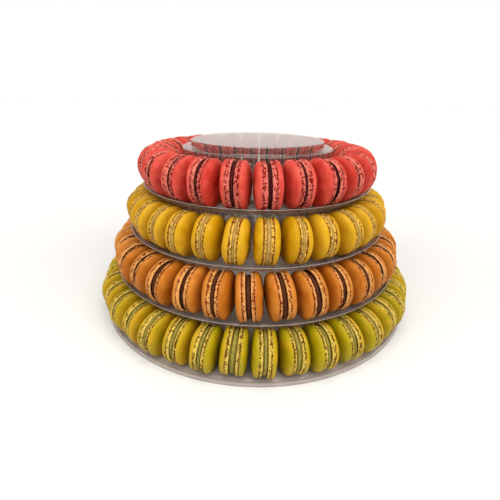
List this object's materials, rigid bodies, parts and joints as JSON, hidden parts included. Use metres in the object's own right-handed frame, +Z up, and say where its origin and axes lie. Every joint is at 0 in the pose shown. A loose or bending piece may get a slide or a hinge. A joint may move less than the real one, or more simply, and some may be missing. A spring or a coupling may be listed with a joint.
{
  "type": "macaron tower",
  "caption": "Tiered tower of clear round trays on raised hubs, each carrying a ring of macarons that stand on edge in its channel.",
  "frame": {"origin": "centre of the base tray, on the table", "axes": "+Z up along the tower's axis, -Y is the front, +X is to the right of someone who looks at the front"},
  "size_m": [0.3736, 0.3734, 0.1855],
  "materials": {
    "clear_tray": "clear thin thermoformed sheet, glossy, light grey where it lies over itself",
    "green_macaron": null,
    "amber_macaron": null,
    "yellow_macaron": null,
    "red_macaron": null
  },
  "bodies": {
    "root": {"tray_1": "clear_tray", "green_macarons_01": "green_macaron", "green_macarons_02": "green_macaron", "green_macarons_03": "green_macaron", "green_macarons_04": "green_macaron", "green_macarons_05": "green_macaron", "green_macarons_06": "green_macaron", "green_macarons_07": "green_macaron", "green_macarons_08": "green_macaron", "green_macarons_09": "green_macaron", "green_macarons_10": "green_macaron", "green_macarons_11": "green_macaron", "green_macarons_12": "green_macaron", "green_macarons_13": "green_macaron", "green_macarons_14": "green_macaron", "tray_2": "clear_tray", "amber_macarons_01": "amber_macaron", "amber_macarons_02": "amber_macaron", "amber_macarons_03": "amber_macaron", "amber_macarons_04": "amber_macaron", "amber_macarons_05": "amber_macaron", "amber_macarons_06": "amber_macaron", "amber_macarons_07": "amber_macaron", "amber_macarons_08": "amber_macaron", "amber_macarons_09": "amber_macaron", "amber_macarons_10": "amber_macaron", "amber_macarons_11": "amber_macaron", "amber_macarons_12": "amber_macaron", "tray_3": "clear_tray", "yellow_macarons_01": "yellow_macaron", "yellow_macarons_02": "yellow_macaron", "yellow_macarons_03": "yellow_macaron", "yellow_macarons_04": "yellow_macaron", "yellow_macarons_05": "yellow_macaron", "yellow_macarons_06": "yellow_macaron", "yellow_macarons_07": "yellow_macaron", "yellow_macarons_08": "yellow_macaron", "yellow_macarons_09": "yellow_macaron", "yellow_macarons_10": "yellow_macaron", "yellow_macarons_11": "yellow_macaron", "yellow_macarons_12": "yellow_macaron", "yellow_macarons_13": "yellow_macaron", "yellow_macarons_14": "yellow_macaron", "yellow_macarons_15": "yellow_macaron", "yellow_macarons_16": "yellow_macaron", "tray_4": "clear_tray", "red_macarons_01": "red_macaron", "red_macarons_02": "red_macaron", "red_macarons_03": "red_macaron", "red_macarons_04": "red_macaron", "red_macarons_05": "red_macaron", "red_macarons_06": "red_macaron", "red_macarons_07": "red_macaron", "red_macarons_08": "red_macaron", "red_macarons_09": "red_macaron", "red_macarons_10": "red_macaron", "red_macarons_11": "red_macaron", "red_macarons_12": "red_macaron", "red_macarons_13": "red_macaron"}
  },
  "joints": []
}
